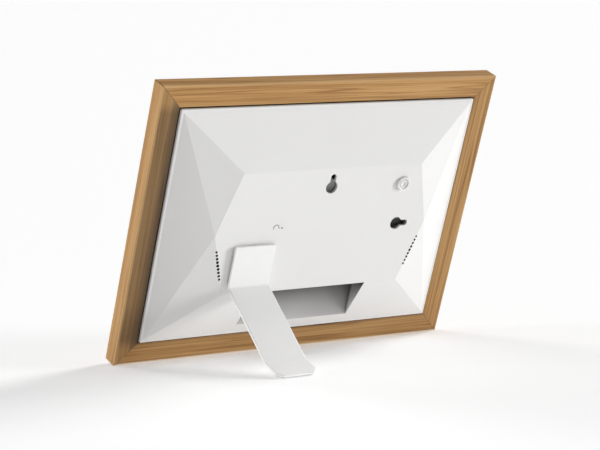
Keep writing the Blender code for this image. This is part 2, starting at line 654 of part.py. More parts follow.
def antenna():
    """A printed aerial stuck under the cover's top facet, and its lead from the radio module."""
    x, height = ANTENNA_AT
    facet = RIM_BACK + (MIDDLE + FACET_HALF[1] - height) * FACET_SLOPE
    depth = facet - COVER_WALL - 2 * GAP - 0.0004
    box("wifi_antenna", ANTENNA_SIZE, (x, depth, height), CIRCUIT_BOARD,
        turn=(math.atan(FACET_SLOPE), 0.0, 0.0))
    start = (x, BOARD_BACK + 0.0036, WIFI_AT[1])
    route = [
        start, (x, BOARD_BACK + 0.0038, WIFI_AT[1] + 0.007),
        (x - 0.004, BOARD_BACK + 0.0034, WIFI_AT[1] + 0.019), (x - 0.006, depth - 0.0022, height - 0.004),
    ]
    tube("antenna_lead", LEAD_RADIUS, route, BLACK_PLASTIC)


def speakers():
    for name, side in (("left", -1), ("right", 1)):
        centre = (side * SPEAKER_CENTRE[0], SPEAKER_CENTRE[1], SPEAKER_CENTRE[2])
        speaker = box(f"speaker_{name}", SPEAKER_SIZE, centre, BLACK_PLASTIC, 0.001)
        back = centre[1] + SPEAKER_SIZE[1] / 2
        dish = [(0.003, back + 0.001), (0.0055, back + 0.001), (0.0055, back - 0.0004),
                (0.003, back - 0.0012)]
        cutter = turned("speaker_dish", dish, (centre[0], centre[2]), None, 20, closed=True)
        boolean(speaker, cutter)
        inner_side = side * (SPEAKER_CENTRE[0] - SPEAKER_SIZE[0] / 2 - 2 * GAP)
        board_side = side * (BOARD_SIZE[0] / 2 - 0.004)
        lead_depth = BOARD_BACK + 0.0013
        route = [(inner_side, centre[1], centre[2]), (side * 0.060, lead_depth + 0.0004, centre[2] + 0.004),
                 (board_side, lead_depth, centre[2] + 0.003)]
        tube(f"speaker_lead_{name}", LEAD_RADIUS, route, GREY_PLASTIC)


# ---------------------------------------------------------------- power button
def power_button():
    """The button slides in the cover on its own axis, against the switch's sprung plunger."""
    shoulder = PLATEAU_INSIDE - GAP
    top = PLATEAU + BUTTON_PROUD
    groove_floor = top - BUTTON_GROOVE_DEPTH
    flange = BUTTON_RADIUS + BUTTON_FLANGE
    flange_front = shoulder - BUTTON_FLANGE_DEPTH
    nose_end = flange_front - BUTTON_NOSE[1]
    profile = [
        (0.0, top), (BUTTON_GROOVE[0], top), (BUTTON_GROOVE[0], groove_floor),
        (BUTTON_GROOVE[1], groove_floor), (BUTTON_GROOVE[1], top),
        (BUTTON_RADIUS - BUTTON_CHAMFER, top), (BUTTON_RADIUS, top - BUTTON_CHAMFER),
        (BUTTON_RADIUS, shoulder), (flange, shoulder), (flange, flange_front),
        (BUTTON_NOSE[0], flange_front), (BUTTON_NOSE[0], nose_end), (0.0, nose_end),
    ]
    turned("power_button", profile, BUTTON_AT, WHITE_PLASTIC, steps=32)

    board_front = BUTTON_BOARD_BACK - BUTTON_BOARD_DEPTH
    board = slab("button_board", *BUTTON_BOARD, board_front, BUTTON_BOARD_BACK, BUTTON_AT, CIRCUIT_BOARD)
    body_front = BUTTON_BOARD_BACK + GAP
    body_back = body_front + SWITCH_DEPTH
    body = slab("button_switch", SWITCH_WIDTH, SWITCH_WIDTH, body_front, body_back, BUTTON_AT,
                BLACK_PLASTIC)
    plunger_foot = body_back - SWITCH_WELL[1]
    well_floor = plunger_foot - BUTTON_TRAVEL - GAP
    boolean(body, cylinder("switch_well", SWITCH_WELL[0], well_floor, PLATEAU, BUTTON_AT, steps=16))
    cylinder("switch_plunger", PLUNGER_RADIUS, plunger_foot, nose_end - GAP, BUTTON_AT, GREY_PLASTIC,
             steps=16)
    for index, place in enumerate(button_boss_places(), start=1):
        boolean(board, cylinder("button_board_hole", 0.0013, 0.0, PLATEAU, place, steps=8))
        screw(f"button_board_screw_{index}", place, board_front - GAP - 0.0012, 0.0012,
              BUTTON_BOARD_BACK + 0.0045, 0.0021, 0.0008)


def button_boss_places():
    return [(BUTTON_AT[0] + side * BUTTON_BOSS_OFFSET, BUTTON_AT[1]) for side in (-1, 1)]


# ---------------------------------------------------------------- rear cover
def keyhole_outline(direction, margin=0.0):
    """A round hole for a screw's head, with a slot for its shank towards a direction in degrees."""
    head = KEYHOLE_HEAD / 2 + margin
    slot = KEYHOLE_SLOT / 2 + margin
    spread = math.degrees(math.asin(slot / head))
    outline = arc((0.0, 0.0), head, spread, 360.0 - spread, 20)
    outline += arc((KEYHOLE_REACH, 0.0), slot, -90.0, 90.0, 8)
    turn = math.radians(direction)
    return [(x * math.cos(turn) - y * math.sin(turn), x * math.sin(turn) + y * math.cos(turn))
            for x, y in outline]


def keyhole_bracket(name, at, direction):
    """A pressed steel tray behind a keyhole: the screw's head slides inside it."""
    along = Vector((math.cos(math.radians(direction)), math.sin(math.radians(direction))))
    past_slot = KEYHOLE_REACH + BRACKET_PAST_SLOT
    length = BRACKET_SIDE + past_slot
    centre = Vector(at) + along * (past_slot - BRACKET_SIDE) / 2
    width = length if abs(along.x) > 0.5 else 2 * BRACKET_SIDE
    height = 2 * BRACKET_SIDE if abs(along.x) > 0.5 else length
    back = PLATEAU_INSIDE - GAP
    front = back - BRACKET_DEPTH
    bracket = slab(name, width, height, front, back, centre, STEEL)
    boolean(bracket, slab(name + "_hollow", width - 2 * BRACKET_WALL, height - 2 * BRACKET_WALL,
                          front + BRACKET_WALL, PLATEAU, centre))


def plateau_corners(depth, inset=0.0):
    end = PLATEAU_HALF_END - inset
    side = PLATEAU_HALF_MIDDLE - inset
    rise = PLATEAU_HALF_HEIGHT - inset
    corners = [(-end, rise), (end, rise), (side, 0.0), (end, -rise), (-end, -rise), (-side, 0.0)]
    return [(x, depth, MIDDLE + height) for x, height in corners]


def cover_rectangle(half, depth):
    return [(x, depth, MIDDLE + height) for x, height in rectangle(*half)]


def cover_hollow():
    """The cutter of the cover's inside, which leaves the recess, bosses and stops standing."""
    points = cover_rectangle(FACET_HALF, COVER_FRONT - 0.002)
    points += cover_rectangle(FACET_HALF, RIM_BACK - COVER_WALL)
    points += plateau_corners(PLATEAU_INSIDE)
    hollow = hull("cover_hollow", points)
    low = RECESS_BOTTOM - 0.0025
    high = RECESS_TOP + RECESS_WALL
    boolean(hollow, slab("recess_walls", 2 * (RECESS_HALF_WIDTH + RECESS_WALL), high - low,
                         RECESS_FLOOR - RECESS_WALL, 2 * PLATEAU, (0.0, (low + high) / 2)))
    for place in button_boss_places():
        boolean(hollow, cylinder("button_boss", BUTTON_BOSS_RADIUS, BUTTON_BOARD_BACK + GAP, PLATEAU,
                                 place))
    reach = (STOP_RADII[0] + STOP_RADII[1]) / 2
    offset = STOP_TAB_WIDTH / 2 + GAP + STOP_WIDTH / 2
    length = STOP_RADII[1] - STOP_RADII[0]
    rest_stop = (PIVOT[0] + offset, PIVOT[1] + reach)
    end_stop = (PIVOT[0] - reach, PIVOT[1] - offset)
    boolean(hollow, slab("rest_stop", STOP_WIDTH, length, CAP_FRONT - GAP, PLATEAU, rest_stop))
    boolean(hollow, slab("end_stop", length, STOP_WIDTH, CAP_FRONT - GAP, PLATEAU, end_stop))
    return hollow


def rear_cover():
    middle = (0.0, MIDDLE)
    cover = slab("rear_cover", 2 * COVER_HALF[0], 2 * COVER_HALF[1], COVER_FRONT, RIM_BACK, middle,
                 WHITE_PLASTIC)
    round_edges(cover, 0.0008)
    facets = hull("cover_facets", cover_rectangle(FACET_HALF, COVER_FRONT + 0.001)
                  + cover_rectangle(FACET_HALF, RIM_BACK) + plateau_corners(PLATEAU))
    boolean(cover, facets, "UNION")
    boolean(cover, cover_hollow())
    recess_low = RECESS_BOTTOM - 0.001
    boolean(cover, slab("recess", 2 * RECESS_HALF_WIDTH, RECESS_TOP - recess_low, RECESS_FLOOR,
                        2 * PLATEAU, (0.0, (RECESS_TOP + recess_low) / 2)))
    ports = (("jack", JACK_SIZE, JACK_X), ("usb", USB_SIZE, USB_X), ("card", CARD_SIZE, CARD_X))
    for name, size, x in ports:
        front = BOARD_BACK + GAP - PORT_CLEARANCE
        back = BOARD_BACK + GAP + size[1] + PORT_CLEARANCE
        boolean(cover, slab(f"{name}_window", size[0] + 2 * PORT_CLEARANCE, 0.006, front, back,
                            (x, RECESS_TOP + 0.001)))
    for name, at, direction in (("top_keyhole", TOP_KEYHOLE, 90.0), ("side_keyhole", SIDE_KEYHOLE, 180.0)):
        boolean(cover, outline_plate(name, [keyhole_outline(direction)], PLATEAU - 0.005,
                                     PLATEAU + 0.005, at))
    boolean(cover, cylinder("button_hole", BUTTON_RADIUS + GAP, PLATEAU - 0.005, PLATEAU + 0.005,
                            BUTTON_AT, steps=32))
    boolean(cover, cylinder("pivot_hole", STUD_RADIUS + GAP, PLATEAU - 0.005, PLATEAU + 0.005, PIVOT,
                            steps=20))
    for place in button_boss_places():
        boolean(cover, cylinder("boss_pilot", 0.0011, 0.0, BUTTON_BOARD_BACK + 0.0055, place, steps=8))
    for side in (-1, 1):
        speaker_holes(cover, side)


def speaker_holes(cover, side):
    """A row of round holes down the edge between the plateau and the lower side facet."""
    top = Vector((side * PLATEAU_HALF_MIDDLE, MIDDLE))
    bottom = Vector((side * PLATEAU_HALF_END, PLATEAU_BOTTOM))
    along = (bottom - top).normalized()
    first = top + along * SPEAKER_FIRST_HOLE
    for index in range(SPEAKER_HOLES):
        centred = 1.0 - abs(index / (SPEAKER_HOLES - 1) * 2.0 - 1.0)
        radius = SPEAKER_HOLE_RADII[0] + (SPEAKER_HOLE_RADII[1] - SPEAKER_HOLE_RADII[0]) * centred
        place = first + along * SPEAKER_HOLE_PITCH * index
        hole = cylinder("speaker_hole", radius, PLATEAU - 0.006, PLATEAU + 0.005, place, steps=10)
        boolean(cover, hole)


# ---------------------------------------------------------------- stand and pivot
def side_view_place(distance, height):
    """Turns a place behind the front bottom edge, over the floor, into (depth, height) up the frame."""
    rise = height - FLOOR_RISE
    depth = distance * math.cos(LEAN) - rise * math.sin(LEAN)
    return depth, distance * math.sin(LEAN) + rise * math.cos(LEAN)


def to_pivot(item):
    """Moves an object's origin onto the pivot's axis, leaving its mesh in place."""
    offset = Vector((PIVOT[0], 0.0, PIVOT[1])) - item.location
    item.data.transform(Matrix.Translation(-offset))
    item.location = (PIVOT[0], 0.0, PIVOT[1])


def stand():
    stations = [
        (PAD_BACK, STAND_PAD_TOP), (PAD_BACK, STAND_FOLD),
        side_view_place(*FOOT_FOLD), side_view_place(*FOOT_TIP),
    ]
    arm = bent_sheet("stand_arm", STAND_CENTRE, STAND_WIDTH, stations, STAND_THICKNESS, WHITE_PLASTIC,
                     bend=STAND_BEND, chamfer=FOOT_CHAMFER)
    round_edges(arm, STAND_EDGE)
    to_pivot(arm)
    sole()

    bore_end = PLATEAU - 0.0005
    stud = [
        (0.0, PAD_FRONT - GAP), (STUD_HEAD_RADIUS, PAD_FRONT - GAP), (STUD_HEAD_RADIUS, PLATEAU + GAP),
        (STUD_RADIUS, PLATEAU + GAP), (STUD_RADIUS, STUD_END), (PIVOT_BORE, STUD_END),
        (PIVOT_BORE, bore_end), (0.0, bore_end),
    ]
    turned("pivot_stud", stud, PIVOT, STEEL, steps=24)
    detent_back = PLATEAU_INSIDE - GAP
    spring_front = STUD_END + 0.0001
    ring("friction_washer", *WASHER_RADII, PLATEAU + GAP, PAD_FRONT - GAP, PIVOT, GREY_PLASTIC)
    ring("detent_plate", *DETENT_RADII, detent_back - DETENT_DEPTH, detent_back, PIVOT, STEEL)
    ring("wave_spring", *SPRING_RADII, spring_front, spring_front + SPRING_DEPTH, PIVOT, STEEL)
    cap = ring("pivot_cap", PIVOT_BORE, CAP_RADIUS, CAP_FRONT, CAP_BACK, PIVOT, STEEL)
    tab_start = CAP_RADIUS * 0.7
    tab_reach = STOP_RADII[1] - tab_start
    tab = slab("cap_tab", STOP_TAB_WIDTH, tab_reach, CAP_FRONT, CAP_BACK,
               (PIVOT[0], PIVOT[1] + tab_start + tab_reach / 2))
    boolean(cap, tab, "UNION")
    screw("pivot_screw", PIVOT, CAP_FRONT - GAP - PIVOT_SCREW_HEAD[1], PIVOT_SCREW_HEAD[1],
          PLATEAU - 0.0015, PIVOT_SCREW_HEAD[0], PIVOT_SCREW_SHANK)


def sole():
    """The wedge of rubber between the sloping foot plate and the floor, cut flat underneath."""
    fold = Vector(FOOT_FOLD)
    tip = Vector(FOOT_TIP)
    along = (fold - tip).normalized()
    under = Vector((-along.y, along.x))
    near = tip + along * SOLE_INSET + under * (STAND_THICKNESS + GAP)
    far = tip + along * (SOLE_INSET + SOLE_LENGTH) + under * (STAND_THICKNESS + GAP)
    section = [(near.x, near.y), (far.x, far.y), (far.x, 0.0), (near.x, 0.0)]
    half = STAND_WIDTH / 2 - FOOT_CHAMFER
    points = []
    for distance, height in section:
        depth, rise = side_view_place(distance, height)
        points += [(STAND_CENTRE - half, depth, rise), (STAND_CENTRE + half, depth, rise)]
    to_pivot(hull("stand_sole", points, RUBBER))


# ---------------------------------------------------------------- the whole object
def main():
    oak_frame()
    glazing()
    display()
    display_flex()
    main_board()
    connectors()
    antenna()
    speakers()
    power_button()
    keyhole_bracket("keyhole_bracket_top", TOP_KEYHOLE, 90.0)
    keyhole_bracket("keyhole_bracket_side", SIDE_KEYHOLE, 180.0)
    rear_cover()
    stand()


main()
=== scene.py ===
"""Looks of a digital photo frame: an oak frame, a faceted white rear cover and a swivelling stand.

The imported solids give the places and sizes, and the few that can't be read from them are named
values. Materials are procedural, in metres. "Own axes" are the frame's upright ones, before it
leans back: X across, Y from the front face to the back, Z up.
"""

import json
import math

import bmesh
import bpy
from mathutils import Matrix, Vector


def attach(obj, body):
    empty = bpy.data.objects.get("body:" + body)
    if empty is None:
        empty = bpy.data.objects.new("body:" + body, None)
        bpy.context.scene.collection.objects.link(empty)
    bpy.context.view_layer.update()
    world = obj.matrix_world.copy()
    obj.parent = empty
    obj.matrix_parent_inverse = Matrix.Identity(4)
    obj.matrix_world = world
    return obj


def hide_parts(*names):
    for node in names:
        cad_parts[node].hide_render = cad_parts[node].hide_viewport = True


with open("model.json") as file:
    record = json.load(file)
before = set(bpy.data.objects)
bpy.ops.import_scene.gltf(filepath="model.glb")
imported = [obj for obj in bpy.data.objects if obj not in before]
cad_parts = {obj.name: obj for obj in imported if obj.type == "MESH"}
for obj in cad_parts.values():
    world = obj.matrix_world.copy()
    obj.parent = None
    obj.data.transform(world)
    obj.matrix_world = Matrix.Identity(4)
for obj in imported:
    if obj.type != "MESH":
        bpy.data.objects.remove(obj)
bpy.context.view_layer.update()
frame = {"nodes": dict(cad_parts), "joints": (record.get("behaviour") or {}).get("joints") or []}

# ---------------------------------------------------------------- places taken from the frame
HINGE = next(joint for joint in frame["joints"] if joint["name"] == "stand_swivel")
LEAN = math.atan2(HINGE["axis"][2], -HINGE["axis"][1])
TO_OWN = Matrix.Rotation(LEAN, 4, "X")      # from the row frame to the frame's own axes
TO_ROW = TO_OWN.inverted()


def own_box(*names):
    """The lowest and highest corner of some nodes, along the frame's own axes."""
    points = [TO_OWN @ vert.co for name in names for vert in frame["nodes"][name].data.vertices]
    low = Vector([min(point[i] for point in points) for i in range(3)])
    high = Vector([max(point[i] for point in points) for i in range(3)])
    return low, high


RAILS = ("rail_bottom", "rail_top", "rail_left", "rail_right")
OAK_LOW, OAK_HIGH = own_box(*RAILS)
COVER_LOW, COVER_HIGH = own_box("rear_cover")
MIDDLE = (OAK_LOW.z + OAK_HIGH.z) / 2
OAK_HALF_HEIGHT = (OAK_HIGH.z - OAK_LOW.z) / 2
COVER_HALF_HEIGHT = (COVER_HIGH.z - COVER_LOW.z) / 2
COVER_RIM = 0.002           # the flat border round the cover's facets
COVER_RISE = 0.0168         # from that border to the plateau
PLATEAU_HALF_HEIGHT = 0.0465
RECESS_HALF_WIDTH = 0.0473  # the port recess, in the facet below the plateau

QUARTER = math.pi / 2
# How far the rounded normal agrees with the flat one where an edge begins, and where it is full.
EDGE_BEGINS, EDGE_FULL = 0.995, 0.86


# ---------------------------------------------------------------- node helpers
class Shader:
    """A material's node tree, with short calls for the nodes used here."""

    def __init__(self, name):
        self.material = bpy.data.materials.new(name)
        self.material.use_nodes = True
        self.tree = self.material.node_tree
        self.principled = self.tree.nodes["Principled BSDF"]

    def node(self, kind, **settings):
        made = self.tree.nodes.new("ShaderNode" + kind)
        for key, value in settings.items():
            setattr(made, key, value)
        return made

    def feed(self, socket, value):
        """Links a socket to another node's output, or sets its value."""
        if isinstance(value, bpy.types.NodeSocket):
            self.tree.links.new(value, socket)
        else:
            socket.default_value = value

    def set(self, **values):
        """Sets the main shader's inputs, named with underscores for spaces."""
        for key, value in values.items():
            self.feed(self.principled.inputs[key.replace("_", " ")], value)

    def own_coordinates(self, turn=(0.0, 0.0, 0.0), scale=(1.0, 1.0, 1.0), shift=(0.0, 0.0, 0.0)):
        """Object coordinates turned upright, then turned, scaled and shifted for a texture."""
        upright = self.node("Mapping", vector_type="POINT")
        upright.inputs["Rotation"].default_value = (LEAN, 0.0, 0.0)
        self.feed(upright.inputs["Vector"], self.node("TexCoord").outputs["Object"])
        return self.mapped(upright.outputs["Vector"], turn, scale, shift)

    def mapped(self, vector, turn=(0.0, 0.0, 0.0), scale=(1.0, 1.0, 1.0), shift=(0.0, 0.0, 0.0)):
        """Turns a vector, then stretches it, then shifts it."""
        if any(turn):
            turned = self.node("Mapping", vector_type="POINT")
            turned.inputs["Rotation"].default_value = turn
            self.feed(turned.inputs["Vector"], vector)
            vector = turned.outputs["Vector"]
        placed = self.node("Mapping", vector_type="POINT")
        placed.inputs["Scale"].default_value = scale
        placed.inputs["Location"].default_value = shift
        self.feed(placed.inputs["Vector"], vector)
        return placed.outputs["Vector"]

    def noise(self, vector, scale=1.0, detail=2.0, roughness=0.5):
        made = self.node("TexNoise")
        self.feed(made.inputs["Vector"], vector)
        made.inputs["Scale"].default_value = scale
        made.inputs["Detail"].default_value = detail
        made.inputs["Roughness"].default_value = roughness
        return made.outputs["Fac"]

    def streaks(self, vector, along, across, detail=2.0, roughness=0.5):
        """Noise drawn out along X, with so many changes in a metre along it and across it."""
        drawn = self.mapped(vector, scale=(along, across, across))
        return self.noise(drawn, detail=detail, roughness=roughness)

    def math(self, operation, *values):
        made = self.node("Math", operation=operation)
        for socket, value in zip(made.inputs, values):
            self.feed(socket, value)
        return made.outputs["Value"]

    def parts(self, vector):
        made = self.node("SeparateXYZ")
        self.feed(made.inputs["Vector"], vector)
        return made.outputs

    def spread(self, value, low, high, out_low=0.0, out_high=1.0, smooth=False):
        made = self.node("MapRange", interpolation_type="SMOOTHSTEP" if smooth else "LINEAR")
        for key, given in (("Value", value), ("From Min", low), ("From Max", high),
                           ("To Min", out_low), ("To Max", out_high)):
            self.feed(made.inputs[key], given)
        return made.outputs["Result"]

    def ramp(self, value, *stops):
        """Colours along 0 to 1, as (place, (r, g, b))."""
        made = self.node("ValToRGB")
        elements = made.color_ramp.elements
        while len(elements) < len(stops):
            elements.new(0.5)
        for element, (place, colour) in zip(elements, stops):
            element.position = place
            element.color = (*colour, 1.0)
        self.feed(made.inputs["Fac"], value)
        return made.outputs["Color"]

    def mix(self, share, first, second):
        """A share of the second colour in the first."""
        made = self.node("Mix", data_type="RGBA")
        # The node has a set of inputs for each data type: these are the ones for colours.
        sockets = (made.inputs[0], made.inputs[6], made.inputs[7])
        for socket, value in zip(sockets, (share, first, second)):
            if isinstance(value, tuple) and len(value) == 3:
                value = (*value, 1.0)
            self.feed(socket, value)
        return made.outputs[2]

    def scaled(self, colour, factor):
        """A colour made lighter or darker by a factor."""
        made = self.node("VectorMath", operation="SCALE")
        self.feed(made.inputs[0], colour)
        self.feed(made.inputs["Scale"], factor)
        return made.outputs["Vector"]

    def edges(self, radius):
        """The normal with its edges rounded, and how near an edge each point is, from 0 to 1."""
        bevel = self.node("Bevel", samples=6)
        bevel.inputs["Radius"].default_value = radius
        plain = self.node("NewGeometry").outputs["Normal"]
        dot = self.node("VectorMath", operation="DOT_PRODUCT")
        self.feed(dot.inputs[0], bevel.outputs["Normal"])
        self.feed(dot.inputs[1], plain)
        edge = self.spread(dot.outputs["Value"], EDGE_BEGINS, EDGE_FULL, smooth=True)
        return bevel.outputs["Normal"], edge

    def openness(self, distance):
        """How open each point is, within its own object: 1 out in the open, less in a hole."""
        made = self.node("AmbientOcclusion", samples=8, only_local=True)
        made.inputs["Distance"].default_value = distance
        return made.outputs["AO"]

    def bump(self, height, distance, strength=1.0, normal=None):
        made = self.node("Bump")
        made.inputs["Distance"].default_value = distance
        made.inputs["Strength"].default_value = strength
        self.feed(made.inputs["Height"], height)
        if normal is not None:
            self.feed(made.inputs["Normal"], normal)
        return made.outputs["Normal"]


def dress(names, shader):
    """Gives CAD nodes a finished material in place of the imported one."""
    for name in names:
        for slot in frame["nodes"][name].material_slots:
            slot.material = shader.material


# ---------------------------------------------------------------- oak
OAK_COLOURS = ((0.0, (0.300, 0.132, 0.031)), (0.35, (0.420, 0.213, 0.061)),
               (0.62, (0.535, 0.292, 0.097)), (1.0, (0.640, 0.385, 0.148)))
PORE_COLOUR = (0.20, 0.090, 0.026)
# The edges' lighter colour: partly wear, partly a painted highlight.
EDGE_WEAR_AND_HIGHLIGHT = (0.72, 0.48, 0.23)
ARRIS_HIGHLIGHT = (0.62, 0.39, 0.17)          # the outer arris, with a painted highlight along it
# The bottom rail's arris gets a paler painted highlight.
PALE_ARRIS_HIGHLIGHT = (1.0, 0.92, 0.78)
# How much each noise moves the colour along OAK_COLOURS.
BANDS, FIBRES, CLOUDS, LATE_WOOD = 0.46, 0.58, 0.32, 0.38
CLOUDS_MIDDLE = 0.38
LATE_LINES = 9.0            # late-wood lines over the slow noise's range
LATE_HALF_WIDTH = 0.16      # of the distance between two lines
OAK_ROUNDING = 0.0007
HIGHLIGHT_FULL, HIGHLIGHT_ENDS = 0.0006, 0.0020   # distances from the outer arris where the painted highlight is full and where it ends
BACK_BEGINS, BACK_FULL = 0.0009, 0.0002     # depths below the back face where its painted shade sets in
END_BEGINS, END_FULL = -0.004, 0.006        # heights past the cover where an end's painted light sets in


def oak(name, turn, seed, painted_back_shade, painted_side_shade, painted_cover_shadow, painted_end_light=1.0, arris=ARRIS_HIGHLIGHT,
        cover_shadow_reach=0.011):
    """Oiled, straight-grained oak, with its grain along X after the turn.

    The tones are painted shade and light, in place of how the light falls: they darken or lighten
    the back face, the other faces, the back face by the cover (a painted shadow, out to the given
    reach from it), and the back face at the rail's ends.
    """
    s = Shader(name)
    grain = s.own_coordinates(turn=turn, shift=(seed * 1.37, seed * 0.21, seed * 0.33))
    bands = s.spread(s.streaks(grain, 8.0, 430.0, roughness=0.55), 0.36, 0.64)
    growth = s.streaks(grain, 2.2, 135.0, detail=1.0)
    fibre = s.streaks(grain, 18.0, 620.0, detail=5.0, roughness=0.65)
    pores = s.streaks(grain, 70.0, 3000.0, roughness=0.6)
    clouds = s.streaks(grain, 4.0, 45.0)
    # Late-wood lines run where the slow noise passes through a few levels.
    phase = s.math("FRACT", s.math("MULTIPLY", growth, LATE_LINES))
    from_line = s.math("ABSOLUTE", s.math("SUBTRACT", phase, 0.5))
    late = s.spread(from_line, 0.0, LATE_HALF_WIDTH, 1.0, 0.0, smooth=True)
    pores = s.math("MULTIPLY", s.spread(pores, 0.60, 0.72, smooth=True),
                   s.spread(late, 0.0, 1.0, 0.35, 1.0))
    level = s.math("ADD", s.math("MULTIPLY", bands, BANDS), s.math("MULTIPLY", fibre, FIBRES))
    clouds = s.math("SUBTRACT", clouds, CLOUDS_MIDDLE)
    level = s.math("ADD", level, s.math("MULTIPLY", clouds, CLOUDS))
    level = s.math("SUBTRACT", level, s.math("MULTIPLY", late, LATE_WOOD))
    colour = s.ramp(level, *OAK_COLOURS)
    colour = s.mix(s.math("MULTIPLY", pores, 0.45), colour, PORE_COLOUR)
    x, depth, z = s.parts(s.own_coordinates())
    on_back = s.spread(depth, OAK_HIGH.y - BACK_BEGINS, OAK_HIGH.y - BACK_FULL, smooth=True)
    across, up = s.math("ABSOLUTE", x), s.math("ABSOLUTE", s.math("SUBTRACT", z, MIDDLE))
    beside = s.math("SUBTRACT", across, COVER_HIGH.x)
    above = s.math("SUBTRACT", up, COVER_HALF_HEIGHT)
    # Painted shadow beside the cover, and painted shade or light on each face and end.
    cover_shadow = s.spread(s.math("MAXIMUM", beside, above), 0.0, cover_shadow_reach, painted_cover_shadow, 1.0, smooth=True)
    back = s.spread(above, END_BEGINS, END_FULL, painted_back_shade, painted_end_light * painted_back_shade, smooth=True)
    back = s.math("MULTIPLY", s.math("MULTIPLY", cover_shadow, back), on_back)
    sides = s.math("MULTIPLY", s.math("SUBTRACT", 1.0, on_back), painted_side_shade)
    colour = s.scaled(colour, s.math("ADD", back, sides))
    # A painted highlight along the outer arris.
    outside = s.math("MAXIMUM", s.math("SUBTRACT", across, OAK_HIGH.x),
                     s.math("SUBTRACT", up, OAK_HALF_HEIGHT))
    corner = s.math("ADD", s.math("ABSOLUTE", outside), s.math("SUBTRACT", OAK_HIGH.y, depth))
    painted_light = s.spread(corner, HIGHLIGHT_FULL, HIGHLIGHT_ENDS, 0.65, 0.0, smooth=True)
    colour = s.mix(painted_light, colour, arris)
    rounded, edge = s.edges(OAK_ROUNDING)
    # Edges a little lighter: partly wear, partly a painted highlight.
    colour = s.mix(s.math("MULTIPLY", edge, 0.30), colour, EDGE_WEAR_AND_HIGHLIGHT)
    height = s.math("SUBTRACT", s.math("MULTIPLY", fibre, 0.35), pores)
    s.set(Base_Color=colour, Roughness=s.spread(fibre, 0.3, 0.7, 0.50, 0.66), IOR=1.46,
          Normal=s.bump(height, 0.00005, 0.8, rounded))
    return s


LEVEL_GRAIN, UPRIGHT_GRAIN = (0.0, 0.0, 0.0), (0.0, QUARTER, 0.0)
# Each rail's painted shade and light: back, other faces, beside the cover, and ends.
dress(["rail_top"], oak("oak_top", LEVEL_GRAIN, 1.0, 1.00, 0.95, 0.95))
dress(["rail_bottom"], oak("oak_bottom", LEVEL_GRAIN, 2.3, 0.81, 0.92, 0.45, arris=PALE_ARRIS_HIGHLIGHT,
                           cover_shadow_reach=0.0035))
dress(["rail_left"], oak("oak_left", UPRIGHT_GRAIN, 3.1, 0.88, 0.92, 0.95))
dress(["rail_right"], oak("oak_right", UPRIGHT_GRAIN, 4.6, 0.43, 0.86, 0.32, painted_end_light=1.7))


# ---------------------------------------------------------------- plastics, metals and the rest
def moulded(name, colour, roughness=0.5, grain=2600.0, depth=0.00002, rounding=0.0004, polish_and_highlight=0.06):
    """Moulded plastic: a fine spark-eroded grain, faint sheen changes, and edges painted lighter:
    partly polish, partly a painted highlight.
    """
    s = Shader(name)
    place = s.own_coordinates()
    fine = s.noise(place, scale=grain, detail=2.0, roughness=0.6)
    broad = s.noise(place, scale=18.0, detail=3.0)
    shade = s.spread(broad, 0.3, 0.7, 0.985, 1.0)
    tinted = s.scaled(colour, shade)
    rounded, edge = s.edges(rounding)
    # Edges painted lighter: partly polish, partly a painted highlight.
    lighter = tuple(min(1.0, c * 1.25 + 0.01) for c in colour)
    tinted = s.mix(s.math("MULTIPLY", edge, polish_and_highlight), tinted, lighter)
    sheen = s.math("ADD", s.spread(broad, 0.3, 0.7, roughness - 0.04, roughness + 0.04),
                   s.spread(fine, 0.3, 0.7, -0.04, 0.04))
    s.set(Base_Color=tinted, Roughness=sheen, IOR=1.49, Normal=s.bump(fine, depth, 0.6, rounded))
    return s


def metal(name, colour, roughness, along=(1.0, 1.0, 1.0), rounding=0.0002):
    """Bare or plated metal with fine drawn lines and smudged gloss."""
    s = Shader(name)
    place = s.own_coordinates()
    stretched = s.mapped(place, scale=tuple(900.0 * a for a in along))
    lines = s.noise(stretched, detail=3.0, roughness=0.7)
    smudge = s.noise(place, scale=120.0, detail=3.0)
    rounded, edge = s.edges(rounding)
    shade = s.spread(lines, 0.3, 0.7, 0.86, 1.0)
    tinted = s.scaled(colour, shade)
    lighter = tuple(min(1.0, c * 1.2) for c in colour)
    tinted = s.mix(s.math("MULTIPLY", edge, 0.25), tinted, lighter)
    s.set(Base_Color=tinted, Metallic=1.0,
          Roughness=s.math("ADD", s.spread(smudge, 0.3, 0.7, roughness - 0.06, roughness + 0.1),
                           s.spread(lines, 0.3, 0.7, -0.03, 0.05)),
          Normal=s.bump(lines, 0.00001, 0.5, rounded))
    return s


def tray_with_painted_light():
    """A black painted tray, made pale with painted light where the screw's head goes in."""
    lit_to, dark_from = 0.0050, 0.0062     # distances from the head's middle: the painted light is full within the first, gone past the second
    s = moulded("tray_with_painted_light", (0.06, 0.06, 0.06), 0.6, rounding=0.0002)
    low, high = own_box("keyhole_bracket_top")
    half = (high.x - low.x) / 2
    x, _, z = s.parts(s.own_coordinates())
    from_head = s.math("SUBTRACT", z, low.z + half)
    from_middle = s.math("SUBTRACT", x, (low.x + high.x) / 2)
    distance = s.math("SQRT", s.math("ADD", s.math("MULTIPLY", from_head, from_head),
                                     s.math("MULTIPLY", from_middle, from_middle)))
    # Painted light: pale round the head's middle, as if lit there.
    painted_light = s.spread(distance, lit_to, dark_from, 1.0, 0.0, smooth=True)
    painted = s.principled.inputs["Base Color"].links[0].from_socket
    s.set(Base_Color=s.mix(painted_light, painted, (0.85, 0.85, 0.84)))
    return s


WHITE = (0.86, 0.857, 0.845)
# A grey that stands in for the recess's shade: painted shade.
RECESS_PAINTED_SHADE = (0.55, 0.547, 0.54)


